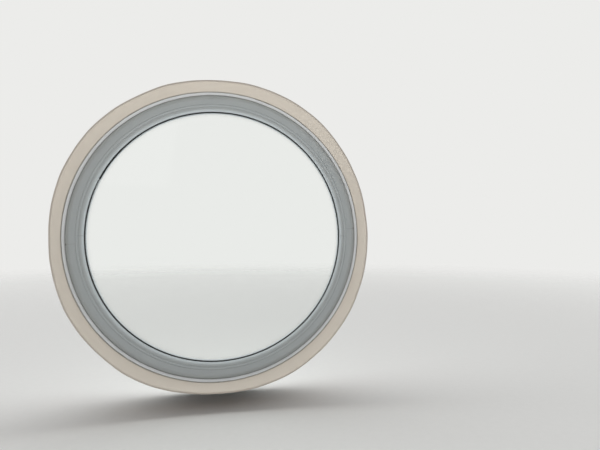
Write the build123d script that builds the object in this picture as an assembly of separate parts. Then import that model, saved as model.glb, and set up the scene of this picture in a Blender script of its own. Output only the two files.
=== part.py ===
from build123d import *
import os
from math import degrees, sqrt

# Round fixed window, turned about its own level axis. All sizes are millimetres.
# X runs to the right as seen from the room, Y runs outdoors along the window's axis, Z runs up.
# Y = 0 is the back of the fixing fin, the plane that bears on the outer face of the wall.
# Sections are drawn as (radius, Y) and turned about Y.
# Angles round the window start at +X and run clockwise as seen from the room, so 90 is the bottom.

# Driving radii and widths, from the glass outwards
sight_radius = 440.0
glass_bite = 15.0
packer_thickness = 5.8
packer_clearance = 0.1
crown_width = 25.0
shoulder_width = 3.0
seal_bed_width = 11.0
lining_thickness = 6.0
land_step = 5.0
outboard_step = 1.0
fin_width = 34.0
trim_gap = 3.0
trim_width = 43.0

# Driving depths along Y
frame_inboard_depth = 50.5
frame_outboard_depth = 28.0
reveal_depth = 113.0
flange_drop = 2.0
land_length = 14.5
glass_setback = 30.0
pane_thickness = 4.0
cavity_depth = 16.0
inner_gasket_depth = 2.5
outer_gasket_depth = 3.0
fin_thickness = 1.5
trim_thickness = 19.0

# Frame profile
face_drop = 6.2
crown_level_width = 5.0
crown_round = 25.0
shoulder_round = 1.4
frame_wall = 2.8
frame_web = 1.6
frame_edge = 0.6
leg_setback = 3.0
leg_nose_length = 14.0
leg_slope_width = 10.0
leg_slope_drop = 4.0
leg_round = 1.5
leg_wall = 4.0

# Barbed root of the fixing fin, in its groove in the frame
fin_barb_width = 3.2
fin_barb_length = 3.0
fin_barb_tip = 1.0
fin_clearance = 0.1
fin_neck_relief = 0.3
fin_joint_gap = 0.5
fin_joint_angle = 270.0

# Glazing bead profile
bead_clearance = 0.2
bead_drop = 1.0
bead_step_width = 6.0
bead_step_rise = 1.6
bead_quirk = 1.8
bead_bulge = 2.4
bead_nose = 8.0
bead_wall = 1.6
bead_foot_width = 3.4
bead_foot_length = 3.7
bead_foot_setback = 6.6
bead_joint_gap = 0.3

# Gaskets
gasket_lip = 3.3
gasket_lip_height = 1.6
gasket_flange = 7.5
gasket_edge = 0.8
gasket_foot_width = 2.4
gasket_foot_depth = 1.8
gasket_foot_inset = 3.6
groove_clearance = 0.15
gasket_joint_gap = 0.4
gasket_joint_angle = 208.0

# Insulating glass unit
pane_arris = 0.5
edge_seal_width = 5.5
spacer_height = 6.5
spacer_wall = 0.5
butyl_thickness = 0.3
butyl_height = 4.5
spacer_slit = 0.3
spacer_key_length = 60.0
spacer_key_clearance = 0.1
desiccant_clearance = 0.15
spacer_joint_angle = 270.0

# Packers round the edge of the glass
packer_length = 60.0
setting_packer_angles = (60.0, 120.0)
location_packer_angles = (0.0, 180.0, 240.0, 300.0)

# Drainage at the bottom of the frame
drain_length = 25.0
drain_width = 4.0
drain_floor_angles = (80.0, 100.0)
drain_face_angles = (74.0, 106.0)
drain_face_inset = 7.5
drain_cover_length = 34.0
drain_cover_width = 11.0
drain_cover_depth = 4.0
drain_cover_wall = 1.2
drain_spigot_clearance = 0.2
drain_spigot_depth = 2.0

# Reveal lining and the sealant fillet at its foot
lining_end_gap = 0.3
lining_nose = 2.9
lining_back_round = 1.2
seal_inset = 1.3
seal_leg = 8.5
seal_bulge = 1.1

# Steel straps that hold the lining to the frame, and their screws
strap_count = 8
strap_first_angle = 22.5
strap_width = 25.0
strap_thickness = 1.5
strap_lining_length = 38.0
strap_frame_length = 30.5
strap_round = 3.0
screw_end_distance = 8.0
screw_radius = 1.75
screw_head_radius = 3.6
screw_head_height = 1.8
screw_lining_bite = 4.5
screw_frame_bite = 8.0
screw_recess_width = 0.9
screw_recess_depth = 1.0
screw_clearance = 0.1

# Outer trim ring and the screw holes through it and the fin
trim_round = 3.0
trim_inner_round = 1.0
trim_seal_depth = 6.0
trim_seal_setback = 1.0
fixing_count = 12
fixing_first_angle = 15.0
fixing_hole_radius = 2.6
plug_hole_radius = 5.0
plug_hole_depth = 6.0

# Radii that follow from the driving widths
leg_radius = sight_radius + leg_setback
glass_radius = sight_radius + glass_bite
rebate_radius = glass_radius + packer_thickness + 2 * packer_clearance
crown_radius = rebate_radius + crown_width
flange_radius = crown_radius + shoulder_width
reveal_radius = flange_radius + seal_bed_width
seat_radius = reveal_radius + lining_thickness
land_radius = seat_radius + land_step
outboard_radius = land_radius - outboard_step
fin_radius = land_radius + fin_width
trim_inner_radius = outboard_radius + trim_gap
trim_outer_radius = trim_inner_radius + trim_width
fixing_radius = (trim_inner_radius + fin_radius) / 2
fin_shoulder_radius = outboard_radius - frame_wall
fin_pocket_radius = fin_shoulder_radius - fin_barb_length - 2 * fin_clearance
spacer_radius = glass_radius - edge_seal_width
bead_radius = rebate_radius - bead_clearance

# Depths that follow from the driving depths
crown_y = -frame_inboard_depth
flange_y = crown_y + flange_drop
lip_y = crown_y + face_drop
front_y = crown_y - reveal_depth
inner_pane_y = crown_y + glass_setback
cavity_y = inner_pane_y + pane_thickness
outer_pane_y = cavity_y + cavity_depth
leg_y = outer_pane_y + pane_thickness + outer_gasket_depth
outer_y = frame_outboard_depth
bead_top_y = lip_y + bead_drop
bead_back_y = inner_pane_y - inner_gasket_depth
foot_y = bead_top_y + bead_foot_setback
groove_y = foot_y - groove_clearance
groove_end_y = foot_y + bead_foot_width + groove_clearance
lining_end_y = flange_y - lining_end_gap
trim_y = fin_thickness
trim_face_y = trim_y + trim_thickness


def outline(*points):
    """Closed flat region through the given (radius, Y) points."""
    return make_face(Polyline(*points, close=True))


def band(inner, outer, low, high):
    """Rectangle of a section, from two radii and two depths."""
    return outline((inner, low), (outer, low), (outer, high), (inner, high))


def rounded(region, places, radius):
    """Region with the corners nearest to the given points rounded."""
    corners = [region.vertices().sort_by_distance((*place, 0))[0] for place in places]
    return fillet(corners, radius)


def turned(section, middle=0.0, sweep=360.0):
    """Section turned about the window's axis, centred on an angle round the window."""
    return Rot(Y=middle - sweep / 2) * revolve(section, axis=Axis.Y, revolution_arc=sweep)


def arc_angle(length, radius):
    """Angle that an arc of this length takes at this radius."""
    return degrees(length / radius)


def around(angle, shape):
    """Shape modelled at angle 0, carried round the window."""
    return Rot(Y=angle) * shape


def even_angles(count, first):
    """Angles of a number of equal stations round the window."""
    return [first + index * 360.0 / count for index in range(count)]


def arc_slot(radius, width, length, low, high):
    """Round-ended slot cutter that runs along Y, long way round the window."""
    cutter = Plane.XZ.offset(-low) * Location((radius, 0, 0), (0, 0, 90)) * SlotOverall(length, width)
    return extrude(cutter, high - low, dir=(0, 1, 0))


def radial_rod(radius, inner, outer, y):
    """Round rod along the radius at angle 0."""
    return Location((inner, y, 0), (0, 90, 0)) * extrude(Circle(radius), outer - inner)


def frame_outline():
    """Outer line of the frame profile, without its chambers and grooves."""
    nose_y = leg_y + leg_nose_length
    bend = (crown_radius - crown_level_width, crown_y)
    region = outline(
        bend,
        (rebate_radius, lip_y),
        (rebate_radius, leg_y),
        (leg_radius, leg_y),
        (leg_radius, nose_y),
        (leg_radius + leg_slope_width, outer_y - leg_slope_drop / 4),
        (rebate_radius, outer_y),
        (outboard_radius, outer_y),
        (outboard_radius, fin_thickness / 2),
        (land_radius, fin_thickness / 2),
        (land_radius, -land_length),
        (seat_radius, -land_length),
        (seat_radius, flange_y),
        (flange_radius, flange_y),
        (flange_radius, crown_y),
    )
    region = rounded(region, [bend], crown_round)
    region = rounded(region, [(flange_radius, crown_y)], shoulder_round)
    region = rounded(region, [(leg_radius, leg_y), (leg_radius, nose_y)], leg_round)
    edges = [(outboard_radius, outer_y), (land_radius, -land_length), (seat_radius, flange_y)]
    return rounded(region, edges, frame_edge)


def frame_chambers():
    """Hollow chambers inside the frame profile."""
    floor = rebate_radius + frame_wall
    groove_floor = bead_radius + bead_foot_length + groove_clearance + frame_wall
    first_end = groove_end_y + frame_wall
    second = first_end + frame_web
    web_low = (fin_thickness - frame_web) / 2
    web_high = web_low + frame_web
    boss_radius = fin_pocket_radius - frame_web
    boss_low = fin_pocket_depths()[0] - frame_web
    boss_high = fin_pocket_depths()[1] + frame_web
    slant = crown_width / 4
    under_crown = outline(
        (groove_floor + slant, flange_y + frame_wall),
        (seat_radius - frame_wall, flange_y + frame_wall),
        (seat_radius - frame_wall, first_end),
        (groove_floor, first_end),
        (groove_floor, flange_y + frame_wall + slant / 2),
    )
    behind_land = outline(
        (floor, second),
        (seat_radius - frame_wall, second),
        (seat_radius - frame_wall, frame_wall - land_length),
        (land_radius - frame_wall, frame_wall - land_length),
        (land_radius - frame_wall, boss_low),
        (boss_radius, boss_low),
        (boss_radius, web_low),
        (floor, web_low),
    )
    drained = outline(
        (floor, web_high),
        (boss_radius, web_high),
        (boss_radius, boss_high),
        (outboard_radius - frame_wall, boss_high),
        (outboard_radius - frame_wall, outer_y - frame_wall),
        (floor, outer_y - frame_wall),
    )
    slope_r = leg_radius + leg_slope_width
    inside_leg = outline(
        (leg_radius + leg_wall, leg_y + leg_wall + gasket_foot_depth),
        (rebate_radius, leg_y + leg_wall + gasket_foot_depth),
        (rebate_radius, outer_y - frame_wall),
        (slope_r + frame_wall / 2, outer_y - leg_slope_drop / 4 - frame_wall),
        (leg_radius + leg_wall, leg_y + leg_nose_length - leg_round),
    )
    return under_crown + behind_land + drained + inside_leg


def fin_pocket_depths():
    """Lowest and highest Y of the pocket that holds the fin's barb."""
    half = fin_barb_width / 2 + fin_clearance
    return fin_thickness / 2 - half, fin_thickness / 2 + half


def fin_groove():
    """Groove in the frame's land for the fin, narrow at its mouth and wide behind the outer wall."""
    low, high = fin_pocket_depths()
    mouth = band(fin_shoulder_radius, land_radius, -fin_clearance, fin_thickness + fin_clearance)
    return mouth + band(fin_pocket_radius, fin_shoulder_radius, low, high)


def gasket_groove(edge, face_y, direction):
    """Groove for the foot of a gasket that starts at an edge, cut in the given direction along Y."""
    start = edge + gasket_foot_inset - groove_clearance
    end = edge + gasket_foot_inset + gasket_foot_width + groove_clearance
    bottom = face_y + direction * (gasket_foot_depth + groove_clearance)
    return band(start, end, min(face_y, bottom), max(face_y, bottom))


def frame_drains():
    """Slots that lead water from the rebate through the drained chamber to the outer face."""
    floor_slots = []
    for angle in drain_floor_angles:
        middle_y = (fin_thickness + leg_y) / 2
        slot = Plane.YZ.offset(rebate_radius - frame_wall) * Location((middle_y, 0, 0), (0, 0, 90))
        cutter = extrude(slot * SlotOverall(drain_length, drain_width), 3 * frame_wall)
        floor_slots.append(around(angle, cutter))
    face_slots = []
    low = outer_y - 2 * frame_wall
    for angle in drain_face_angles:
        cutter = arc_slot(drain_face_radius(), drain_width, drain_length, low, outer_y + 1)
        face_slots.append(around(angle, cutter))
    return floor_slots + face_slots


def drain_face_radius():
    """Radius of the drain slots in the outer face, low in the drained chamber."""
    return outboard_radius - drain_face_inset


def strap_screw_places():
    """Depths of the two screws of a strap, lining end first."""
    lining_y = lining_end_y - strap_lining_length + screw_end_distance
    frame_y = lining_end_y + strap_frame_length - screw_end_distance
    return lining_y, frame_y


def frame_ring():
    """White multi-chamber frame, two bent halves welded into one ring."""
    groove_floor = bead_radius + bead_foot_length + groove_clearance
    bead_groove = band(rebate_radius, groove_floor, groove_y, groove_end_y)
    section = frame_outline() - frame_chambers() - bead_groove
    section -= gasket_groove(leg_radius, leg_y, 1) + fin_groove()
    screw_y = strap_screw_places()[1]
    pilot = radial_rod(screw_radius, seat_radius - 2 * frame_wall, seat_radius + 1, screw_y)
    pilots = [around(angle, pilot) for angle in even_angles(strap_count, strap_first_angle)]
    return turned(section) - pilots - frame_drains()


def fixing_fin():
    """Flexible fin for the wall screws, its barbed root pushed into the frame and its ends butted."""
    middle_y = fin_thickness / 2
    shoulder = fin_shoulder_radius - fin_clearance
    tip = shoulder - fin_barb_length
    neck = land_radius + fin_neck_relief
    section = outline(
        (tip, middle_y - fin_barb_tip / 2),
        (shoulder, middle_y - fin_barb_width / 2),
        (shoulder, fin_neck_relief),
        (neck, fin_neck_relief),
        (neck, 0),
        (fin_radius, 0),
        (fin_radius, fin_thickness),
        (shoulder, fin_thickness),
        (shoulder, middle_y + fin_barb_width / 2),
        (tip, middle_y + fin_barb_tip / 2),
    )
    fin = turned(section, fin_joint_angle + 180.0, 360.0 - arc_angle(fin_joint_gap, land_radius))
    hole = Location((fixing_radius, 0, 0), (90, 0, 0)) * Cylinder(fixing_hole_radius, 4 * fin_thickness)
    return fin - [around(angle, hole) for angle in even_angles(fixing_count, fixing_first_angle)]


def bead_section():
    """Hollow glazing bead: a step by the frame, a quirk, then an ovolo down to the nose."""
    step = (bead_radius - bead_step_width, bead_top_y + bead_step_rise)
    quirk = (step[0] - bead_quirk / 3, step[1] + bead_quirk)
    start = (step[0] - bead_quirk, step[1] + bead_quirk)
    nose = (sight_radius, bead_back_y - bead_nose)
    run = (nose[0] - start[0], nose[1] - start[1])
    length = sqrt(run[0] ** 2 + run[1] ** 2)
    bulge = (-run[1] / length * bead_bulge, run[0] / length * bead_bulge)
    middle = ((start[0] + nose[0]) / 2 + bulge[0], (start[1] + nose[1]) / 2 + bulge[1])
    back = Polyline(
        nose,
        (sight_radius, bead_back_y),
        (bead_radius, bead_back_y),
        (bead_radius, foot_y + bead_foot_width),
        (bead_radius + bead_foot_length, foot_y + bead_foot_width),
        (bead_radius + bead_foot_length, foot_y + bead_foot_width / 3),
        (bead_radius + bead_foot_length / 2, foot_y),
        (bead_radius, foot_y),
        (bead_radius, bead_top_y),
        step,
        quirk,
        start,
    )
    body = make_face(Curve() + [ThreePointArc(start, middle, nose), back])
    core_back = bead_back_y - gasket_foot_depth - groove_clearance
    core = outline(
        start, nose, (sight_radius, core_back), (bead_radius, core_back), (bead_radius, start[1])
    )
    core = offset(core, amount=-bead_wall, kind=Kind.INTERSECTION)
    return body - core - gasket_groove(sight_radius, bead_back_y, -1)


def glazing_bead(middle):
    """Half ring of glazing bead, snapped into the frame's groove."""
    sweep = 180.0 - arc_angle(bead_joint_gap, sight_radius)
    return turned(bead_section(), middle, sweep)


def inner_gasket():
    """Black gasket between bead and glass, with a lip that shows past the bead's nose."""
    low = inner_pane_y
    lip = sight_radius - gasket_lip
    foot = sight_radius + gasket_foot_inset
    section = outline(
        (lip, low),
        (lip, low - gasket_edge),
        (sight_radius, bead_back_y - gasket_lip_height),
        (sight_radius, bead_back_y),
        (foot, bead_back_y),
        (foot, bead_back_y - gasket_foot_depth),
        (foot + gasket_foot_width, bead_back_y - gasket_foot_depth),
        (foot + gasket_foot_width, bead_back_y),
        (sight_radius + gasket_flange, bead_back_y),
        (sight_radius + gasket_flange, low),
    )
    sweep = 360.0 - arc_angle(gasket_joint_gap, sight_radius)
    return turned(section, gasket_joint_angle + 180.0, sweep)


def outer_gasket():
    """Black gasket between the outer pane and the frame's outer leg."""
    low = outer_pane_y + pane_thickness
    foot = leg_radius + gasket_foot_inset
    section = outline(
        (leg_radius + gasket_edge, low),
        (leg_radius, leg_y - gasket_edge),
        (leg_radius + leg_round, leg_y),
        (foot, leg_y),
        (foot, leg_y + gasket_foot_depth),
        (foot + gasket_foot_width, leg_y + gasket_foot_depth),
        (foot + gasket_foot_width, leg_y),
        (leg_radius + gasket_flange, leg_y),
        (leg_radius + gasket_flange, low),
    )
    sweep = 360.0 - arc_angle(gasket_joint_gap, sight_radius)
    return turned(section, spacer_joint_angle + 180.0, sweep)


def pane(low):
    """Round pane with its edges arrised."""
    high = low + pane_thickness
    section = outline(
        (0, low),
        (glass_radius - pane_arris, low),
        (glass_radius, low + pane_arris),
        (glass_radius, high - pane_arris),
        (glass_radius - pane_arris, high),
        (0, high),
    )
    return turned(section)


def spacer_depths():
    """Lowest and highest Y of the spacer bar, between its two butyl seals."""
    return cavity_y + butyl_thickness, outer_pane_y - butyl_thickness


def spacer_bar():
    """Hollow aluminium bar bent to a ring, with a butt joint at the top."""
    low, high = spacer_depths()
    inner = spacer_radius - spacer_height
    tube = band(inner, spacer_radius, low, high)
    tube -= band(inner + spacer_wall, spacer_radius - spacer_wall, low + spacer_wall, high - spacer_wall)
    sweep = 360.0 - arc_angle(spacer_slit, spacer_radius)
    return turned(tube, spacer_joint_angle + 180.0, sweep)


def inside_spacer(clearance):
    """Section of a piece that fits inside the spacer bar."""
    low, high = spacer_depths()
    room = spacer_wall + clearance
    return band(spacer_radius - spacer_height + room, spacer_radius - room, low + room, high - room)


def spacer_key():
    """Push-in key that closes the spacer bar's butt joint."""
    sweep = arc_angle(spacer_key_length, spacer_radius)
    return turned(inside_spacer(spacer_key_clearance), spacer_joint_angle, sweep)


def desiccant_fill():
    """Drying beads that fill the rest of the spacer bar, as one packed body."""
    sweep = 360.0 - arc_angle(spacer_key_length + 4 * desiccant_clearance, spacer_radius)
    return turned(inside_spacer(desiccant_clearance), spacer_joint_angle + 180.0, sweep)


def butyl_seal(low):
    """Thin butyl bead between the spacer bar and a pane."""
    inner = spacer_radius - (spacer_height + butyl_height) / 2
    return turned(band(inner, inner + butyl_height, low, low + butyl_thickness))


def edge_sealant():
    """Sealant that fills the edge of the glass unit behind the spacer bar."""
    return turned(band(spacer_radius, glass_radius - pane_arris, cavity_y, outer_pane_y))


def packer(angle):
    """Plastic packer that centres the glass in the rebate."""
    inner = glass_radius + packer_clearance
    section = band(inner, inner + packer_thickness, inner_pane_y, outer_pane_y + pane_thickness)
    return turned(section, angle, arc_angle(packer_length, inner))


def drain_cover(angle):
    """Hood over a drain slot, open at its lower edge, on a spigot in the slot."""
    radius = drain_face_radius()
    base = Location((radius, outer_y + drain_cover_depth / 2, 0))
    shell = base * Box(drain_cover_width, drain_cover_depth, drain_cover_length)
    outer_edges = shell.edges().group_by(Axis.Y)[-1]
    shell = fillet(outer_edges, drain_cover_wall)
    inner_width = drain_cover_width - drain_cover_wall
    hollow_place = (radius + drain_cover_wall, outer_y + (drain_cover_depth - drain_cover_wall) / 2, 0)
    hollow_depth = drain_cover_depth - drain_cover_wall
    hollow = Location(hollow_place) * Box(
        inner_width, hollow_depth, drain_cover_length - 2 * drain_cover_wall
    )
    width = drain_width - 2 * drain_spigot_clearance
    length = drain_length - 2 * drain_spigot_clearance
    low = outer_y - drain_spigot_depth
    high = outer_y + drain_cover_depth - drain_cover_wall
    spigot = arc_slot(radius, width, length, low, high + drain_cover_wall / 2)
    channel = arc_slot(radius, width - drain_cover_wall, length - drain_cover_wall, low, high)
    way_out = Location((radius + drain_cover_width / 2, outer_y + hollow_depth / 2, 0)) * Box(
        drain_cover_width, hollow_depth, length - 2 * drain_width
    )
    return around(angle, shell - hollow + spigot - channel - way_out)


def reveal_lining():
    """Thin bent lining of the reveal, rounded where it meets the room."""
    section = band(reveal_radius, seat_radius, front_y, lining_end_y)
    front_round = min(lining_nose, 0.6 * lining_thickness)
    back_round = min(lining_back_round, 0.3 * lining_thickness)
    section = rounded(section, [(reveal_radius, front_y)], front_round)
    section = rounded(section, [(seat_radius, front_y)], back_round)
    ring = turned(section)
    depth = seat_radius - screw_lining_bite - screw_clearance
    pilot = radial_rod(screw_radius, depth, seat_radius + 1, strap_screw_places()[0])
    return ring - [around(angle, pilot) for angle in even_angles(strap_count, strap_first_angle)]


def reveal_sealant():
    """Tooled sealant fillet in the corner of the frame flange and the lining."""
    inner = (flange_radius + seal_inset, flange_y)
    outer = (reveal_radius, flange_y - seal_leg)
    run = (outer[0] - inner[0], outer[1] - inner[1])
    length = sqrt(run[0] ** 2 + run[1] ** 2)
    bulge = (run[1] / length * seal_bulge, -run[0] / length * seal_bulge)
    middle = ((inner[0] + outer[0]) / 2 + bulge[0], (inner[1] + outer[1]) / 2 + bulge[1])
    sides = Polyline(outer, (reveal_radius, flange_y), inner)
    return turned(make_face(Curve() + [ThreePointArc(inner, middle, outer), sides]))


def lining_strap(angle):
    """Steel strap that ties the lining to the back of the frame."""
    low = lining_end_y - strap_lining_length
    high = lining_end_y + strap_frame_length
    section = band(seat_radius, seat_radius + strap_thickness, low, high)
    strap = turned(section, 0, arc_angle(strap_width, seat_radius))
    ends = strap.edges().filter_by(lambda edge: abs(edge.length - strap_thickness) < 0.05)
    strap = fillet(ends, strap_round)
    hole_radius = screw_radius + screw_clearance
    for y in strap_screw_places():
        strap -= radial_rod(hole_radius, seat_radius - 1, seat_radius + 2 * strap_thickness, y)
    return around(angle, strap)


def strap_screw(y, bite):
    """Pan-head screw with a cross recess, driven towards the window's axis."""
    seat = seat_radius + strap_thickness
    top = seat + screw_head_height
    head = radial_rod(screw_head_radius, seat, top, y)
    rim = head.edges().sort_by(Axis.X)[-1]
    head = fillet(rim, 0.6 * screw_head_height)
    tip = seat_radius - bite
    shank = radial_rod(screw_radius, tip + screw_radius, seat, y)
    point = Cone(screw_radius, screw_radius / 4, screw_radius)
    point = Location((tip + screw_radius / 2, y, 0), (0, -90, 0)) * point
    arm = 1.2 * screw_head_radius
    recess = Location((top, y, 0)) * Box(2 * screw_recess_depth, arm, screw_recess_width)
    recess += Location((top, y, 0)) * Box(2 * screw_recess_depth, screw_recess_width, arm)
    return head + shank + point - recess


def strap_screws(y, bite):
    """One screw for each strap, as a group of separate solids."""
    screw = strap_screw(y, bite)
    angles = even_angles(strap_count, strap_first_angle)
    return Compound(children=[around(angle, screw) for angle in angles])


def outer_trim_ring():
    """Flat white ring that covers the fin and the joint with the wall outdoors."""
    section = band(trim_inner_radius, trim_outer_radius, trim_y, trim_face_y)
    section = rounded(section, [(trim_outer_radius, trim_face_y)], trim_round)
    section = rounded(section, [(trim_inner_radius, trim_face_y)], trim_inner_round)
    ring = turned(section)
    middle_y = trim_y + trim_thickness / 2
    hole = Cylinder(fixing_hole_radius, 2 * trim_thickness)
    plug = Cylinder(plug_hole_radius, 2 * plug_hole_depth)
    hole = Location((fixing_radius, middle_y, 0), (90, 0, 0)) * hole
    plug = Location((fixing_radius, trim_face_y, 0), (90, 0, 0)) * plug
    return ring - [around(angle, hole + plug) for angle in even_angles(fixing_count, fixing_first_angle)]


def trim_sealant():
    """Sealant in the joint between the frame and the trim ring."""
    high = trim_face_y - trim_seal_setback
    return turned(band(outboard_radius, trim_inner_radius, high - trim_seal_depth, high))


def all_pieces():
    """Every piece of the window by its node name."""
    lining_screw_y, frame_screw_y = strap_screw_places()
    pieces = {
        "frame_ring": frame_ring(),
        "fixing_fin": fixing_fin(),
        "glazing_bead_upper": glazing_bead(270.0),
        "glazing_bead_lower": glazing_bead(90.0),
        "inner_gasket": inner_gasket(),
        "outer_gasket": outer_gasket(),
        "inner_pane": pane(inner_pane_y),
        "outer_pane": pane(outer_pane_y),
        "spacer_bar": spacer_bar(),
        "spacer_key": spacer_key(),
        "desiccant_fill": desiccant_fill(),
        "inner_butyl_seal": butyl_seal(cavity_y),
        "outer_butyl_seal": butyl_seal(outer_pane_y - butyl_thickness),
        "edge_sealant": edge_sealant(),
        "reveal_lining": reveal_lining(),
        "reveal_sealant": reveal_sealant(),
        "outer_trim_ring": outer_trim_ring(),
        "trim_sealant": trim_sealant(),
        "lining_screws": strap_screws(lining_screw_y, screw_lining_bite),
        "frame_screws": strap_screws(frame_screw_y, screw_frame_bite),
    }
    for index, angle in enumerate(setting_packer_angles, 1):
        pieces[f"setting_packer_{index}"] = packer(angle)
    for index, angle in enumerate(location_packer_angles, 1):
        pieces[f"location_packer_{index}"] = packer(angle)
    for index, angle in enumerate(drain_face_angles, 1):
        pieces[f"drain_cover_{index}"] = drain_cover(angle)
    for index, angle in enumerate(even_angles(strap_count, strap_first_angle), 1):
        pieces[f"lining_strap_{index}"] = lining_strap(angle)
    return pieces


os.makedirs("parts", exist_ok=True)
for name, piece in all_pieces().items():
    export_step(piece, f"parts/{name}.step")
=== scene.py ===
import math
import bmesh
import bpy
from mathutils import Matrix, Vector


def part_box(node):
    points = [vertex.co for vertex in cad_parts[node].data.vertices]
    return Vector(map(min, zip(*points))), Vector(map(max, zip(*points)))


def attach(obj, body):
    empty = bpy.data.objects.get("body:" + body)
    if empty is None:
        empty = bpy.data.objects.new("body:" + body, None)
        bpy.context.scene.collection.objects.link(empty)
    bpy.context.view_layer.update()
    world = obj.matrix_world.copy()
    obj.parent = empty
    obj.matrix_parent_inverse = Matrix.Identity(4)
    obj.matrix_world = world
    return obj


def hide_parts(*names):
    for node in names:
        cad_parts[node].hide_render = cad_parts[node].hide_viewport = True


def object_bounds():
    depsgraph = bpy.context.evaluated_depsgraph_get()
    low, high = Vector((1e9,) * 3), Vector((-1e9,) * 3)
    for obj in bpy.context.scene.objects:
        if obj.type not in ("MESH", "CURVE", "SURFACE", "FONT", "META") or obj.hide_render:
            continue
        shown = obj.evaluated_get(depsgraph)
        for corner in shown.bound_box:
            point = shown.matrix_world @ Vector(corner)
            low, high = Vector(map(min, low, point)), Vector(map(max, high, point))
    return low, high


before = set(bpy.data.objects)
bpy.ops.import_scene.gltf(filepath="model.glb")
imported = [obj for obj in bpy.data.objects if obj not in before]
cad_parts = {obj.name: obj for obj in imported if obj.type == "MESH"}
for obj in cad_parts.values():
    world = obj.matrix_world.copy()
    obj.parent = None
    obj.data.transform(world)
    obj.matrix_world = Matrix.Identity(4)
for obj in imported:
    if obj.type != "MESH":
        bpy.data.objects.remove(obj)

cad_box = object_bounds()

# The window's own frame: X right and Z up as seen from the room, Y outdoors, in metres.
# Sections are written in millimetres as (radius, y), and angles run clockwise from the right,
# as seen from the room, so 90 is the bottom and 180 the left.
MM = 0.001
ring_steps = 720

# Places of the window's pieces, in millimetres
front_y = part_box("reveal_lining")[0].y / MM
lining_end_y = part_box("reveal_lining")[1].y / MM
seat_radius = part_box("reveal_lining")[1].x / MM
reveal_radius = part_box("reveal_sealant")[1].x / MM
flange_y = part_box("reveal_sealant")[1].y / MM
bead_foot_length = 3.7
bead_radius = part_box("glazing_bead_upper")[1].x / MM - bead_foot_length
bead_front_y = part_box("glazing_bead_upper")[0].y / MM
bead_back_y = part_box("glazing_bead_upper")[1].y / MM
pane_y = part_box("inner_pane")[0].y / MM
glass_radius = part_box("inner_pane")[1].x / MM
spacer_low, spacer_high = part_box("spacer_bar")
spacer_height = 6.5
spacer_inner_radius = spacer_high.z / MM - spacer_height
cavity_middle_y = (spacer_low.y + spacer_high.y) / 2 / MM
trim_width = 43.0
trim_outer_radius = -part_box("outer_trim_ring")[0].x / MM
trim_inner_radius = trim_outer_radius - trim_width
sight_radius = 440.0
flange_radius = 489.0

# Sizes of the sections, in millimetres
lining_nose = 2.9
lining_back_round = 1.2
lining_end_gap = 0.5
seal_inset = 1.3
seal_leg = 8.2
bead_step_width = 6.0
bead_step_rise = 1.6
bead_quirk_depth = 1.8
bead_quirk_side = 0.6
bead_round_start = 1.8
bead_nose_height = 8.0
bead_fullness = 2.4
bead_joint_gap = 0.3
gasket_lip = 3.3
gasket_lip_height = 1.6
gasket_flange = 7.5
gasket_joint_gap = 2.4

# Joints and seams round the window
gasket_joint = 205.6
weld_angles = (176.7, 356.7)
bead_joints = (0.0, 180.0)


def srgb(red, green, blue):
    """Linear colour from display values of 0 to 255."""
    return tuple(
        v / 12.92 if v <= 0.04045 else ((v + 0.055) / 1.055) ** 2.4
        for v in (red / 255, green / 255, blue / 255)
    )


def as_input(value):
    """Colour tuples get an alpha, everything else stays."""
    return (*value, 1.0) if isinstance(value, tuple) and len(value) == 3 else value


# Finishes: shader arithmetic and the method that makes every node

class Value:
    """Output socket of a finish's nodes, with operators that add Math nodes."""

    def __init__(self, finish, socket):
        self.finish = finish
        self.socket = socket

    def math(self, operation, *values):
        return self.finish.node("ShaderNodeMath", {"operation": operation}, dict(enumerate(values)))

    def __add__(self, other):
        return self.math("ADD", self, other)

    def __radd__(self, other):
        return self.math("ADD", other, self)

    def __sub__(self, other):
        return self.math("SUBTRACT", self, other)

    def __rsub__(self, other):
        return self.math("SUBTRACT", other, self)

    def __mul__(self, other):
        return self.math("MULTIPLY", self, other)

    def __rmul__(self, other):
        return self.math("MULTIPLY", other, self)

    def __truediv__(self, other):
        return self.math("DIVIDE", self, other)

    def __pow__(self, other):
        return self.math("POWER", self, other)

    def __abs__(self):
        return self.math("ABSOLUTE", self)

    def larger(self, other):
        """The larger of two values."""
        return self.math("MAXIMUM", self, other)

    def rise(self, low, high):
        """0 below low, 1 above high, with a smooth rise between them."""
        settings = {"interpolation_type": "SMOOTHSTEP"}
        inputs = {"Value": self, "From Min": low, "From Max": high}
        return self.finish.node("ShaderNodeMapRange", settings, inputs)

    def near(self, middle, half, soft):
        """1 within half of a middle value, falling to 0 over the soft width."""
        return 1 - abs(self - middle).rise(half, half + soft)


class NodeTree:
    """Empty node tree of a material or world, and the one method that adds its nodes."""

    def __init__(self, owner):
        owner.use_nodes = True
        self.tree = owner.node_tree
        self.tree.nodes.clear()

    def node(self, kind, settings, inputs, output=0):
        """Node of one type: its settings first, then its sockets. Gives one of its outputs."""
        made = self.tree.nodes.new(kind)
        for name, value in settings.items():
            setattr(made, name, value)
        for name, value in inputs.items():
            if isinstance(value, Value):
                self.tree.links.new(value.socket, made.inputs[name])
            else:
                made.inputs[name].default_value = as_input(value)
        return Value(self, made.outputs[output]) if made.outputs else None

    def mix(self, factor, first, second):
        """Blend of two colours."""
        return self.node("ShaderNodeMix", {"data_type": "RGBA"}, {0: factor, 6: first, 7: second}, 2)


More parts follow.
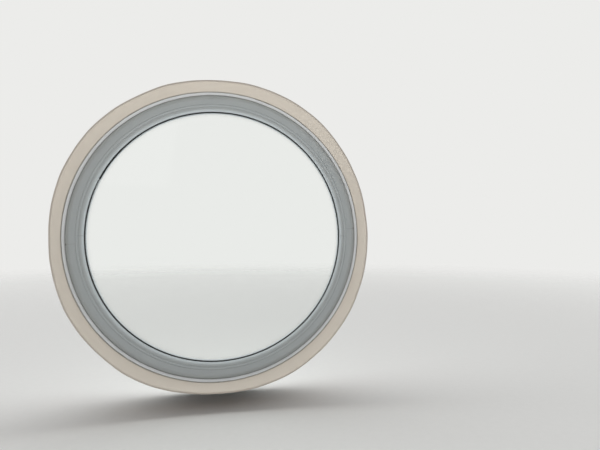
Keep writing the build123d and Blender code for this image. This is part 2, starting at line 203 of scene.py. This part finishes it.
class Finish(NodeTree):
    """Procedural material that reads the object's own coordinates, in metres."""

    def __init__(self, name):
        self.material = bpy.data.materials.new(name)
        super().__init__(self.material)
        self.place = self.node("ShaderNodeTexCoord", {}, {}, "Object")
        split = self.node("ShaderNodeSeparateXYZ", {}, {"Vector": self.place}).socket.node
        self.x, self.y, self.z = (Value(self, output) for output in split.outputs)
        self.radius = (self.x * self.x + self.z * self.z) ** 0.5

    def noise(self, size, detail=2.0, stretch=(1.0, 1.0, 1.0)):
        """Noise from 0 to 1 with features of about size metres, longer along a stretched axis."""
        scale = tuple(1.0 / (size * share) for share in stretch)
        moved = self.node("ShaderNodeMapping", {}, {"Vector": self.place, "Scale": Vector(scale)})
        inputs = {"Vector": moved, "Scale": 1.0, "Detail": detail}
        return self.node("ShaderNodeTexNoise", {}, inputs)

    def drawn(self, across, along, detail=2.0):
        """Noise drawn out round the ring, as marks along an extruded or tooled profile."""
        turn = sight_radius * MM / along
        section = {"X": self.radius / across, "Y": self.y / across, "Z": self.x / self.radius * turn}
        vector = self.node("ShaderNodeCombineXYZ", {}, section)
        inputs = {"Vector": vector, "W": self.z / self.radius * turn, "Scale": 1.0, "Detail": detail}
        return self.node("ShaderNodeTexNoise", {"noise_dimensions": "4D"}, inputs)

    def cells(self, size, output="Distance"):
        """Pattern of cells of about size metres: the distance from each middle, or a colour each."""
        inputs = {"Vector": self.place, "Scale": 1.0 / size}
        return self.node("ShaderNodeTexVoronoi", {}, inputs, output)

    def from_station(self, angle):
        """Distance in metres from a station on the ring, measured along the ring."""
        turn = math.radians(angle)
        across = self.z * math.cos(turn) + self.x * math.sin(turn)
        along = self.x * math.cos(turn) - self.z * math.sin(turn)
        far_side = 1 - along.rise(-0.01, 0.01)
        return abs(across) + far_side

    def bump(self, height, distance, under=None):
        """Normal raised by a height of 0 to 1 that stands for a distance in metres."""
        inputs = {"Height": height, "Distance": distance}
        if under is not None:
            inputs["Normal"] = under
        return self.node("ShaderNodeBump", {}, inputs)

    def shader(self, colour, roughness, normal=None, constants=None):
        """Principled shader with its varying inputs, and its constants on their own sockets."""
        inputs = {"Base Color": colour, "Roughness": roughness, **(constants or {})}
        if normal is not None:
            inputs["Normal"] = normal
        return self.node("ShaderNodeBsdfPrincipled", {}, inputs)

    def done(self, shader):
        """The material with a shader on its output."""
        self.node("ShaderNodeOutputMaterial", {}, {"Surface": shader})
        return self.material


# Colours, as they look in plain light. The two vinyl colours are darker and bluer than the white vinyl
# itself: painted shade of faces turned to a dim room.
# Frame and bead vinyl: painted shade, white vinyl written grey and cool
vinyl_white_in_shade = srgb(181, 188, 191)
bead_vinyl_in_shade = srgb(187, 194, 197)
# Grey of vinyl grime, also used for painted shade in its creases
vinyl_grime_and_shade = srgb(104, 105, 101)
fin_white = srgb(192, 198, 200)
paint_cream = srgb(220, 210, 198)
paint_shadow = srgb(209, 198, 185)
# Dark of grime at the seam, also used as painted shade beside the sealant
seam_dirt_and_shade = srgb(84, 78, 72)
board_brown = srgb(150, 116, 80)
board_dark = srgb(112, 82, 54)
# Grey of grime on the sealant, also used as its painted shade
sealant_white = srgb(224, 227, 230)
sealant_grime_and_shade = srgb(160, 160, 156)
trim_white = srgb(206, 207, 204)
rubber_black = srgb(30, 30, 32)
rubber_dust = srgb(74, 74, 72)


def vinyl(name, colour, seams=()):
    """Satin extruded vinyl with faint draw lines, handling haze and welded or butted seams, and with
    grime and painted shade darkening the corner by the flange, the bead joint and the quirk.
    """
    finish = Finish(name)
    radius = finish.radius / MM
    broad = finish.drawn(0.005, 0.5, 3.0)
    lines = finish.drawn(0.0007, 0.35, 2.0)
    haze = finish.noise(0.09, 4.0)
    grime = finish.drawn(0.009, 0.05, 5.0).rise(0.5, 0.9) * 0.1
    # Painted shade where shade falls: darker in the corner by the flange, and along the bead joint and
    # the quirk, partly grime
    at_flange = (finish.y / MM).near(flange_y, 0.5, 0.8)
    corner = at_flange * radius.rise(flange_radius - 0.4, flange_radius)
    groove = radius.near(bead_radius + 0.1, 0.25, 0.35)
    quirk = radius.near(bead_radius - bead_step_width - 0.4, 0.4, 0.4)
    shoulder = radius.near(flange_radius - 1.5, 1.5, 1.5)
    grime_and_shade = grime.larger(corner * 0.55).larger(groove * 0.4).larger(quirk * 0.3)
    tone = finish.mix(broad, tuple(0.965 * c for c in colour), colour)
    normal = finish.bump(lines * 0.5 + broad, 0.03 * MM)
    for angle in seams:
        beside = finish.from_station(angle)
        seam = beside.near(0.0, 0.25 * MM, 0.5 * MM)
        spot = beside.near(0.0, 1.5 * MM, 4.0 * MM) * shoulder
        grime_and_shade = grime_and_shade.larger(seam * 0.35).larger(spot * 0.6)
        normal = finish.bump(1 - seam, 0.2 * MM, normal)
    # Grime, seam marks and the painted shade of the creases darken the vinyl
    tone = finish.mix(grime_and_shade, tone, vinyl_grime_and_shade)
    roughness = 0.3 + 0.14 * haze + 0.2 * grime_and_shade
    return finish.done(finish.shader(tone, roughness, normal, {"IOR": 1.52}))


def rubber(name, colour, dust):
    """Matt black rubber with fine drawn lines and pale dust."""
    finish = Finish(name)
    lines = finish.drawn(0.0006, 0.2)
    film = finish.noise(0.02, 4.0).rise(0.45, 0.85) * 0.5
    tone = finish.mix(film, colour, dust)
    normal = finish.bump(lines, 0.05 * MM)
    return finish.done(finish.shader(tone, 0.62 + 0.2 * film, normal))


def lining_paint():
    """Cream matt paint, rolled and brushed over bent board, with a dark line of grime and painted shade
    beside the sealant, and painted shade fading out from it.
    """
    finish = Finish("lining_paint")
    stipple = finish.noise(0.0016, 3.0)
    lap = finish.noise(0.055, 3.0)
    broad = finish.noise(0.28, 2.0)
    strokes = finish.noise(0.006, 3.0, (1.0, 6.0, 1.0))
    tone = finish.mix(lap, paint_shadow, paint_cream)
    tone = finish.mix(broad.rise(0.3, 0.7) * 0.5, paint_cream, tone)
    depth = finish.y / MM + 1.6 * finish.noise(0.011, 3.0)
    # Painted shade beside the sealant: a dark line, partly grime, and a soft darkening that fades over
    # about 11 mm into the corner
    sealant_line_y = flange_y - seal_leg - 0.7
    line = depth.near(sealant_line_y, 0.8, 1.4) * 0.62
    painted_corner_shade = depth.near(sealant_line_y, 1.0, 11.0) * 0.18
    tone = finish.mix(line.larger(painted_corner_shade), tone, seam_dirt_and_shade)
    normal = finish.bump(0.75 * stipple + 0.6 * strokes + lap, 0.16 * MM)
    return finish.done(finish.shader(tone, 0.56 + 0.12 * stipple, normal))


def bare_board():
    """Brown fibres of the bent board, with a ragged edge of paint at the room side."""
    finish = Finish("lining_board")
    fibre = finish.noise(0.0035, 4.0, (1.0, 9.0, 1.0))
    cloud = finish.noise(0.06, 4.0)
    board = finish.mix(0.6 * fibre + 0.4 * cloud, board_dark, board_brown)
    ragged = finish.noise(0.012, 4.0) * 16.0
    wrapped = 1 - (finish.y / MM - ragged).rise(front_y + 1.0, front_y + 2.0)
    tone = finish.mix(wrapped, board, paint_cream)
    normal = finish.bump(fibre * (1 - wrapped) + wrapped, 0.22 * MM)
    return finish.done(finish.shader(tone, 0.82 - 0.22 * wrapped, normal))


def white_sealant():
    """White sealant smoothed with a finger, with pits and ripples, and grey at its edges and in its pits
    from grime and painted shade.
    """
    finish = Finish("white_sealant")
    ripple = finish.drawn(0.0022, 0.03, 3.0)
    pull = finish.noise(0.014, 3.0)
    pits = 1 - finish.cells(0.006).rise(0.03, 0.09)
    radius = finish.radius / MM
    # Grey along the crack by the lining, at the foot by the flange and in the pits: grime and painted
    # shade
    edge = radius.rise(reveal_radius - 3.0, reveal_radius - 1.2)
    foot = 1 - radius.rise(flange_radius + 1.2, flange_radius + 2.6)
    patch = finish.noise(0.02, 4.0).rise(0.35, 0.75)
    grime_and_shade = (edge * (0.55 + 0.45 * patch)).larger(foot * (0.3 + 0.3 * patch)).larger(pits * 0.3)
    tone = finish.mix(pull, sealant_white, tuple(0.95 * c for c in sealant_white))
    tone = finish.mix(grime_and_shade, tone, sealant_grime_and_shade)
    normal = finish.bump(ripple + 0.6 * pull, 0.28 * MM)
    normal = finish.bump(1 - pits, 0.2 * MM, normal)
    return finish.done(finish.shader(tone, 0.36 + 0.2 * ripple + 0.2 * grime_and_shade, normal))


def clear_glass():
    """Clear float glass, greener towards its arrised edge."""
    finish = Finish("clear_glass")
    edge = (finish.radius / MM).rise(glass_radius - 4.0, glass_radius)
    tone = finish.mix(edge, (0.985, 0.995, 0.99), (0.62, 0.86, 0.76))
    glass = finish.shader(tone, 0.0, None, {"Transmission Weight": 1.0, "IOR": 1.5})
    lit = finish.node("ShaderNodeLightPath", {}, {}, "Is Shadow Ray")
    through = finish.node("ShaderNodeBsdfTransparent", {}, {"Color": (0.97, 0.985, 0.98)})
    return finish.done(finish.node("ShaderNodeMixShader", {}, {0: lit, 1: glass, 2: through}))


def spacer_metal():
    """Bright aluminium bar with a row of fine breathing holes towards the cavity."""
    finish = Finish("spacer_metal")
    lines = finish.drawn(0.0004, 0.3)
    holes = finish.cells(0.0035).rise(0.12, 0.2)
    on_face = 1 - (finish.radius / MM).rise(spacer_inner_radius + 0.2, spacer_inner_radius + 0.6)
    row = (finish.y / MM).near(cavity_middle_y, 3.0, 0.6) * on_face
    dark = (1 - holes) * row
    tone = finish.mix(dark, srgb(206, 208, 210), srgb(40, 40, 42))
    normal = finish.bump(lines - dark, 0.05 * MM)
    return finish.done(finish.shader(tone, 0.28 + 0.16 * lines, normal, {"Metallic": 1.0}))


def moulded(name, colour, grain=0.0012, roughness=0.42):
    """Moulded plastic with a fine spark texture and slight scuffs."""
    finish = Finish(name)
    spark = finish.noise(grain, 3.0)
    scuff = finish.noise(0.014, 5.0).rise(0.5, 0.8)
    tone = finish.mix(scuff * 0.35, colour, tuple(0.72 * c for c in colour))
    normal = finish.bump(spark, 0.05 * MM)
    return finish.done(finish.shader(tone, roughness + 0.12 * spark + 0.1 * scuff, normal))


def desiccant():
    """Packed pale drying beads, with painted shade in the gaps between them."""
    finish = Finish("desiccant")
    beads = finish.cells(0.0011)
    # Darker towards the rim of each bead: painted shade between the beads
    tone = finish.mix(beads.rise(0.2, 0.7), srgb(214, 204, 180), srgb(126, 114, 92))
    normal = finish.bump(1 - beads, 0.5 * MM)
    return finish.done(finish.shader(tone, 0.8, normal))


def putty(name, colour, sheen):
    """Dark sealing compound with tool marks along the ring."""
    finish = Finish(name)
    drag = finish.drawn(0.0012, 0.05, 3.0)
    lumps = finish.noise(0.006, 3.0)
    tone = finish.mix(lumps, colour, tuple(1.7 * c for c in colour))
    normal = finish.bump(drag + lumps, 0.2 * MM)
    return finish.done(finish.shader(tone, sheen + 0.2 * lumps, normal))


def trim_plastic():
    """Flat white foamed board with sawn edges, faint print of the mould and rain dust."""
    finish = Finish("trim_plastic")
    grain = finish.noise(0.0014, 3.0)
    cloud = finish.noise(0.16, 4.0)
    sawn = finish.noise(0.0011, 2.0, (1.0, 14.0, 1.0))
    radius = finish.radius / MM
    inner_rim = 1 - radius.rise(trim_inner_radius + 0.5, trim_inner_radius + 2.0)
    outer_rim = radius.rise(trim_outer_radius - 4.0, trim_outer_radius - 2.0)
    rim = outer_rim.larger(inner_rim)
    dust = finish.noise(0.035, 5.0).rise(0.42, 0.8) * 0.22
    streak = finish.noise(0.012, 4.0, (1.0, 1.0, 9.0)).rise(0.5, 0.85) * 0.2
    tone = finish.mix(cloud, tuple(0.95 * c for c in trim_white), trim_white)
    tone = finish.mix(dust.larger(streak), tone, srgb(150, 144, 130))
    normal = finish.bump(grain + sawn * rim, 0.06 * MM)
    return finish.done(finish.shader(tone, 0.4 + 0.15 * cloud + 0.2 * dust, normal))


def zinc_screw():
    """Bright zinc with turned rings on the heads and a pale gold tint."""
    finish = Finish("screw_steel")
    blush = finish.noise(0.004, 3.0)
    fine = finish.noise(0.0005, 2.0)
    tone = finish.mix(blush, srgb(198, 196, 186), srgb(204, 192, 150))
    normal = finish.bump(fine, 0.03 * MM)
    return finish.done(finish.shader(tone, 0.26 + 0.18 * fine, normal, {"Metallic": 1.0}))


def galvanised():
    """Galvanised strip with frosty spangles and dull sheared edges."""
    finish = Finish("strap_steel")
    flake = finish.cells(0.006, "Color")
    sort = finish.node("ShaderNodeSeparateColor", {}, {"Color": flake})
    veins = finish.noise(0.0012, 4.0)
    tone = finish.mix(sort, srgb(158, 164, 168), srgb(196, 201, 204))
    tone = finish.mix(veins.rise(0.55, 0.8) * 0.3, tone, srgb(130, 134, 136))
    normal = finish.bump(sort + 0.4 * veins, 0.03 * MM)
    return finish.done(finish.shader(tone, 0.34 + 0.22 * sort, normal, {"Metallic": 0.95}))


# Meshes: sections with rounded corners, turned round the window's axis

def rounded_section(corners, turn_step=15.0):
    """Closed section from (radius, y, rounding) corners, each rounding drawn as an arc."""
    points = []
    for index, (radius, y, rounding) in enumerate(corners):
        here = Vector((radius, y))
        back = (Vector(corners[index - 1][:2]) - here).normalized()
        ahead = (Vector(corners[(index + 1) % len(corners)][:2]) - here).normalized()
        if rounding == 0:
            points.append((radius, y))
            continue
        half = back.angle(ahead) / 2
        centre = here + (back + ahead).normalized() * (rounding / math.sin(half))
        first = here + back * (rounding / math.tan(half)) - centre
        last = here + ahead * (rounding / math.tan(half)) - centre
        turn = math.atan2(first.x * last.y - first.y * last.x, first.dot(last))
        count = max(2, round(abs(math.degrees(turn)) / turn_step))
        for step in range(count + 1):
            part = turn * step / count
            x = first.x * math.cos(part) - first.y * math.sin(part)
            y_part = first.x * math.sin(part) + first.y * math.cos(part)
            points.append((centre.x + x, centre.y + y_part))
    return points


def quarter_round(start, nose, fullness, count):
    """Points between two corners on a full quarter round, level at its start and upright at its nose."""
    points = []
    for step in range(1, count):
        turn = math.pi / 2 * step / count
        across = math.sin(turn) ** (2 / fullness)
        above = math.cos(turn) ** (2 / fullness)
        radius = start[0] + (nose[0] - start[0]) * across
        points.append((radius, nose[1] + (start[1] - nose[1]) * above, 0))
    return points


def turned_piece(
    name, section, finish, replaced, shift=None, middle=0.0, sweep=360.0, sharp=35.0, behind=None
):
    """Ring or part ring turned from a section, each point moved by shift(angle, radius, y).

    A part ring spreads evenly from its middle angle. Edges sharper than an angle of sharp degrees
    stay crisp. A pair in behind gives a radius and the finish of the faces at it or beyond it.
    """
    whole = sweep >= 360.0
    stations = ring_steps if whole else max(2, round(ring_steps * sweep / 360.0)) + 1
    mesh = bpy.data.meshes.new(name)
    build = bmesh.new()
    rows = []
    for station in range(stations):
        share = station / ring_steps if whole else station / (stations - 1)
        angle = middle - sweep / 2 + sweep * share
        turn = math.radians(angle)
        row = []
        for radius, y in section:
            out, along = shift(angle % 360.0, radius, y) if shift else (0.0, 0.0)
            far = (radius + out) * MM
            place = (far * math.cos(turn), (y + along) * MM, -far * math.sin(turn))
            row.append(build.verts.new(place))
        rows.append(row)
    pairs = list(zip(rows, rows[1:]))
    if whole:
        pairs.append((rows[-1], rows[0]))
    else:
        build.faces.new(rows[0])
        build.faces.new(rows[-1])
    for first, second in pairs:
        for index in range(len(section)):
            after = (index + 1) % len(section)
            face = build.faces.new((first[index], first[after], second[after], second[index]))
            if behind and min(section[index][0], section[after][0]) >= behind[0]:
                face.material_index = 1
    bmesh.ops.recalc_face_normals(build, faces=build.faces)
    build.to_mesh(mesh)
    build.free()
    mesh.shade_smooth()
    mesh.set_sharp_from_angle(angle=math.radians(sharp))
    mesh.materials.append(finish)
    if behind:
        mesh.materials.append(behind[1])
    piece = bpy.data.objects.new(name, mesh)
    bpy.context.scene.collection.objects.link(piece)
    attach(piece, "root")
    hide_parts(*replaced)


def eased(share):
    """Smooth step from 0 to 1."""
    share = min(1.0, max(0.0, share))
    return share * share * (3 - 2 * share)


def through_stations(stations, angle):
    """Smooth closed line through (angle, value) stations round the ring."""
    count = len(stations)
    index = max(i for i in range(count) if stations[i][0] <= angle)
    before, start, end, after = (stations[(index + step) % count] for step in (-1, 0, 1, 2))
    span = (end[0] - start[0]) % 360.0
    share = (angle - start[0]) / span
    slope_in = (end[1] - before[1]) / ((end[0] - before[0]) % 360.0) * span
    slope_out = (after[1] - start[1]) / ((after[0] - start[0]) % 360.0) * span
    level = start[1] + (end[1] - start[1]) * eased(share)
    return level + share * (1 - share) * ((1 - share) * slope_in - share * slope_out)


def ripple(angle, waves):
    """Small unevenness round the ring from (waves per turn, height, phase) rows."""
    turn = math.radians(angle)
    return sum(height * math.sin(count * turn + phase) for count, height, phase in waves)


# Reveal lining: its room edge was shaped by hand, so it wanders in and out of the true circle.
# Each station gives an angle and how far the edge stands out from the circle, in millimetres.
edge_stations = (
    (0.0, -5.0),
    (24.0, -0.5),
    (56.0, 2.5),
    (72.0, 0.5),
    (90.0, -6.0),
    (106.0, -2.5),
    (122.0, 0.5),
    (139.0, -3.0),
    (152.0, -3.0),
    (175.0, -9.0),
    (193.0, -5.5),
    (219.0, -0.5),
    (240.0, -2.5),
    (251.0, -2.0),
    (268.0, -3.5),
    (296.0, 3.0),
    (314.0, 2.5),
    (336.0, -3.0),
)
hand_waves = ((13, 0.35, 0.4), (23, 0.25, 1.9), (37, 0.14, 3.0), (61, 0.08, 0.7))
face_waves = ((5, 0.25, 2.2), (9, 0.2, 0.3), (17, 0.12, 1.1))

# Shares of the lining's depth: the part by the frame that stays true, and the nose that dips
true_share = 0.34
nose_share = 0.1
nose_dip = 0.4


def lining_shift(angle, radius, y):
    """Wander of the lining, nothing at the frame and most at the room edge."""
    depth = (lining_end_y - y) / (lining_end_y - front_y)
    edge = through_stations(edge_stations, angle) + ripple(angle, hand_waves)
    middle = ripple(angle, face_waves) * math.sin(math.pi * min(1.0, depth))
    dip = 0.35 * ripple(angle + 40.0, hand_waves) * eased((depth - 1 + nose_share) / nose_share)
    out = edge * eased((depth - true_share) / (1 - true_share)) + middle
    return out, max(0.0, nose_dip + dip)


def along_lining(radius, shares):
    """Points on one side of the lining, at shares of its depth from the room edge."""
    return [(radius, front_y + share * (lining_end_y - front_y), 0) for share in shares]


def reveal_lining():
    """Bent lining with a bullnosed, hand-finished room edge."""
    end_y = lining_end_y - lining_end_gap
    corners = [
        (reveal_radius, front_y, lining_nose),
        *along_lining(reveal_radius, (0.15, 0.35, 0.55, 0.75, 0.93)),
        (reveal_radius, end_y, 0),
        (seat_radius, end_y, 0),
        *along_lining(seat_radius, (0.8, 0.5, 0.2)),
        (seat_radius, front_y, lining_back_round),
    ]
    section = rounded_section(corners)
    behind = (seat_radius - 0.01, bare_board())
    paint = lining_paint()
    replaced = ["reveal_lining"]
    turned_piece("painted_lining", section, paint, replaced, lining_shift, behind=behind)


# Sealant fillet between the frame's flange and the lining
seal_waves = ((7, 0.35, 0.9), (16, 0.3, 2.6), (29, 0.25, 0.2), (47, 0.18, 1.4), (83, 0.1, 2.2))
gap_waves = ((6, 0.2, 1.2), (19, 0.22, 0.5), (41, 0.2, 2.9), (71, 0.12, 0.1))
crack_width = 0.6
crack_least = 0.15


def seal_shift(angle, radius, y):
    """Uneven run of the fillet: its top edge climbs the lining, and a thin crack opens beside it."""
    outer = eased((radius - flange_radius - 4.0) / 6.0)
    at_lining = radius > reveal_radius - 1.0
    crack = max(crack_least, crack_width + ripple(angle, gap_waves)) if at_lining else 0.0
    climb = ripple(angle, seal_waves) * outer * eased((flange_y - y) / 2.0)
    spread = 0.5 * ripple(angle + 90.0, seal_waves) * (1 - outer) * eased((flange_y - y + 0.6) / 0.6)
    return -crack + spread, climb


def reveal_sealant():
    """Tooled fillet, hollow in its middle, with a rounded shoulder beside the lining."""
    foot_radius = flange_radius + seal_inset
    top_y = flange_y - seal_leg
    corners = [
        (foot_radius, flange_y, 0),
        (foot_radius + 0.6, flange_y - 0.9, 0.5),
        (foot_radius + 2.9, flange_y - 3.3, 2.0),
        (foot_radius + 6.1, flange_y - 6.0, 2.0),
        (reveal_radius - 0.8, top_y, 0.6),
        (reveal_radius - 0.2, top_y + 0.4, 0.3),
        (reveal_radius - 0.2, flange_y, 0),
    ]
    section = rounded_section(corners)
    finish = white_sealant()
    turned_piece("tooled_sealant", section, finish, ["reveal_sealant"], seal_shift)


# Glazing beads
def bead_section():
    """Step by the frame, a quirk, then an ovolo that falls to an upright nose."""
    step = (bead_radius - bead_step_width, bead_front_y + bead_step_rise)
    floor_y = step[1] + bead_quirk_depth
    start = (step[0] - bead_round_start, floor_y)
    nose = (sight_radius, bead_back_y - bead_nose_height)
    corners = [
        (bead_radius, bead_front_y, 0.35),
        (*step, 0.45),
        (step[0] - bead_quirk_side, floor_y, 0.2),
        (*start, 0),
        *quarter_round(start, nose, bead_fullness, 20),
        (*nose, 0),
        (sight_radius, bead_back_y, 0.2),
        (bead_radius, bead_back_y, 0),
    ]
    return rounded_section(corners)


def glazing_beads():
    """Two half rings that butt at the sides."""
    finish = vinyl("bead_plastic", bead_vinyl_in_shade, bead_joints)
    section = bead_section()
    sweep = 180.0 - math.degrees(bead_joint_gap / sight_radius)
    for half, middle in (("upper", 270.0), ("lower", 90.0)):
        name = "bead_" + half
        replaced = ["glazing_bead_" + half]
        turned_piece(name, section, finish, replaced, None, middle, sweep, sharp=50.0)


# Inner gasket: its two ends meet on the left, the upper one fuller than the lower one
lip_waves = ((11, 0.1, 0.6), (27, 0.07, 1.5))
lip_lean = 0.25


def fading(away, amount, level, reach):
    """Amount up to a level angle away from a place, easing to nothing over a reach, in degrees."""
    return amount * (1 - eased((away - level) / reach))


def gasket_shift(angle, radius, y):
    """Lip that stands out more above the joint and less below it, with slight waves."""
    if radius > sight_radius + 0.5:
        return 0.0, 0.0
    above = (angle - gasket_joint) % 360.0
    below = (gasket_joint - angle) % 360.0
    full = -fading(above, 1.4, 0.0, 34.0) - fading(above, 0.3, 60.0, 120.0)
    thin = fading(below, 0.8, 0.0, 60.0) + fading(below, 0.6, 0.0, 10.0)
    return full + thin + ripple(angle, lip_waves), lip_lean * full


def inner_gasket(finish):
    """Lip gasket in one length, with blunt ends that leave a slight opening."""
    corners = [
        (sight_radius - gasket_lip, pane_y, 0.0),
        (sight_radius - gasket_lip, pane_y - 0.9, 0.35),
        (sight_radius - 0.6, bead_back_y - gasket_lip_height + 0.1, 0.6),
        (sight_radius, bead_back_y - gasket_lip_height, 0.0),
        (sight_radius, bead_back_y, 0.0),
        (sight_radius + gasket_flange, bead_back_y, 0.0),
        (sight_radius + gasket_flange, pane_y, 0.0),
    ]
    section = rounded_section(corners)
    middle = gasket_joint + 180.0
    sweep = 360.0 - math.degrees(gasket_joint_gap / sight_radius)
    replaced = ["inner_gasket"]
    turned_piece("lip_gasket", section, finish, replaced, gasket_shift, middle, sweep)


black_rubber = rubber("gasket_rubber", rubber_black, rubber_dust)
reveal_lining()
reveal_sealant()
glazing_beads()
inner_gasket(black_rubber)


# Finishes of the solid pieces, which keep their own meshes. The joint round the trim ring
# has none here: it keeps the plain white that its solid comes with.
glass = clear_glass()
blue_plastic = moulded("packer_plastic", srgb(58, 92, 142))
white_cover = moulded("cover_plastic", srgb(204, 207, 207), 0.0009, 0.36)
galvanised_steel = galvanised()
zinc = zinc_screw()
butyl = putty("butyl", srgb(34, 34, 35), 0.3)
finishes = {
    "frame_ring": vinyl("frame_plastic", vinyl_white_in_shade, weld_angles),
    "fixing_fin": vinyl("fin_plastic", fin_white, (270.0,)),
    "outer_gasket": black_rubber,
    "inner_pane": glass,
    "outer_pane": glass,
    "spacer_bar": spacer_metal(),
    "spacer_key": moulded("key_plastic", srgb(92, 94, 97)),
    "desiccant_fill": desiccant(),
    "inner_butyl_seal": butyl,
    "outer_butyl_seal": butyl,
    "edge_sealant": putty("edge_seal", srgb(62, 62, 64), 0.5),
    "outer_trim_ring": trim_plastic(),
    "lining_screws": zinc,
    "frame_screws": zinc,
}
for index in (1, 2):
    finishes[f"setting_packer_{index}"] = blue_plastic
    finishes[f"drain_cover_{index}"] = white_cover
for index in range(1, 5):
    finishes[f"location_packer_{index}"] = blue_plastic
for index in range(1, 9):
    finishes[f"lining_strap_{index}"] = galvanised_steel
for name, finish in finishes.items():
    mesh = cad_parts[name].data
    mesh.materials.clear()
    mesh.materials.append(finish)


# Floor, background and light, in metres
floor_z = cad_box[0].z - 0.0005
floor_reach = 9.0
fade_start = 1.6
fade_end = 7.5


def floor_finish():
    """Matt pale floor, clear far from the window."""
    finish = Finish("floor_pale")
    away = (finish.x * finish.x + finish.y * finish.y) ** 0.5
    grain = finish.noise(0.02, 3.0)
    tone = finish.mix(grain, srgb(224, 224, 222), srgb(228, 228, 226))
    plain = finish.shader(tone, 0.9)
    clear = finish.node("ShaderNodeBsdfTransparent", {}, {})
    faded = {0: away.rise(fade_start, fade_end), 1: plain, 2: clear}
    return finish.done(finish.node("ShaderNodeMixShader", {}, faded))


def pale_floor():
    """Level floor that fades into the background."""
    mesh = bpy.data.meshes.new("floor")
    square = ((-1, -1), (1, -1), (1, 1), (-1, 1))
    corners = [(floor_reach * x, floor_reach * y, floor_z) for x, y in square]
    mesh.from_pydata(corners, [], [(0, 1, 2, 3)])
    mesh.materials.append(floor_finish())
    floor = bpy.data.objects.new("floor", mesh)
    bpy.context.scene.collection.objects.link(floor)


def pale_world(seen, room_strength, around_strength, ahead_strength):
    """World that looks pale, also in glass and gloss, and lights the window most through its glass.

    The light from the room's side, from around the window outdoors, and from straight outdoors
    each has its own strength.
    """
    world = bpy.data.worlds.new("pale_world")
    sky = NodeTree(world)
    path = sky.node("ShaderNodeLightPath", {}, {}).socket.node.outputs
    kinds = ("Is Camera Ray", "Is Glossy Ray", "Is Transmission Ray")
    camera_ray, glossy_ray, glass_ray = (Value(sky, path[kind]) for kind in kinds)
    bounced = Value(sky, path["Diffuse Depth"]).rise(0.2, 0.8)
    viewed = camera_ray.larger(glossy_ray).larger(glass_ray) * (1 - bounced)
    direction = sky.node("ShaderNodeTexCoord", {}, {}, "Generated")
    split = sky.node("ShaderNodeSeparateXYZ", {}, {"Vector": direction}).socket.node
    outwards = Value(sky, split.outputs["Y"])
    around = outwards.rise(-0.04, 0.08) * (around_strength - room_strength)
    ahead = outwards.rise(0.45, 0.75) * (ahead_strength - around_strength)
    strength = room_strength + around + ahead
    shown = sky.node("ShaderNodeBackground", {}, {"Color": seen})
    light = sky.node("ShaderNodeBackground", {}, {"Color": (1.0, 1.0, 1.0), "Strength": strength})
    blend = sky.node("ShaderNodeMixShader", {}, {0: viewed, 1: light, 2: shown})
    sky.node("ShaderNodeOutputWorld", {}, {"Surface": blend})
    bpy.context.scene.world = world


def soft_lamp(name, place, size, watts, colour):
    """Rectangular soft lamp that faces the window's middle and isn't seen."""
    data = bpy.data.lights.new(name, "AREA")
    data.shape = "RECTANGLE"
    data.size = size[0]
    data.size_y = size[1]
    data.energy = watts
    data.color = colour
    lamp = bpy.data.objects.new(name, data)
    lamp.location = place
    lamp.rotation_euler = (-Vector(place)).to_track_quat("-Z", "Y").to_euler()
    lamp.visible_camera = False
    lamp.visible_transmission = False
    bpy.context.scene.collection.objects.link(lamp)


def reveal_glow(place, size, watts):
    """Round white lamp between the sides of the reveal, for the light they throw on each other."""
    data = bpy.data.lights.new("reveal_glow", "POINT")
    data.shadow_soft_size = size
    data.energy = watts
    lamp = bpy.data.objects.new("reveal_glow", data)
    lamp.location = place
    lamp.visible_camera = False
    lamp.visible_transmission = False
    lamp.visible_glossy = False
    bpy.context.scene.collection.objects.link(lamp)


pale_floor()
pale_world(srgb(236, 236, 234), room_strength=0.34, around_strength=1.5, ahead_strength=0.75)
soft_lamp("sky_side", place=(-0.5, 3.2, 2.4), size=(3.0, 2.0), watts=8.0, colour=(0.99, 0.995, 1.0))
soft_lamp("room_side", place=(-1.6, -3.2, 1.8), size=(2.6, 2.6), watts=6.5, colour=(1.0, 1.0, 1.0))
reveal_glow(place=(0.0, -0.035, 0.06), size=0.1, watts=3.5)


# Camera, where the photograph was taken from
camera_place = (0.0085, -1.5185, -0.001)
camera_pitch = 1.54
camera_turn = -10.74
camera_lens = 24.96


def photo_camera():
    """Camera that looks slightly up and to the right of the window."""
    data = bpy.data.cameras.new("camera")
    data.sensor_width = 36.0
    data.lens = camera_lens
    camera = bpy.data.objects.new("camera", data)
    camera.location = camera_place
    camera.rotation_euler = (math.radians(90 + camera_pitch), 0.0, math.radians(camera_turn))
    bpy.context.scene.collection.objects.link(camera)
    return camera


bpy.context.scene.camera = photo_camera()
bpy.context.scene.view_settings.view_transform = "Standard"
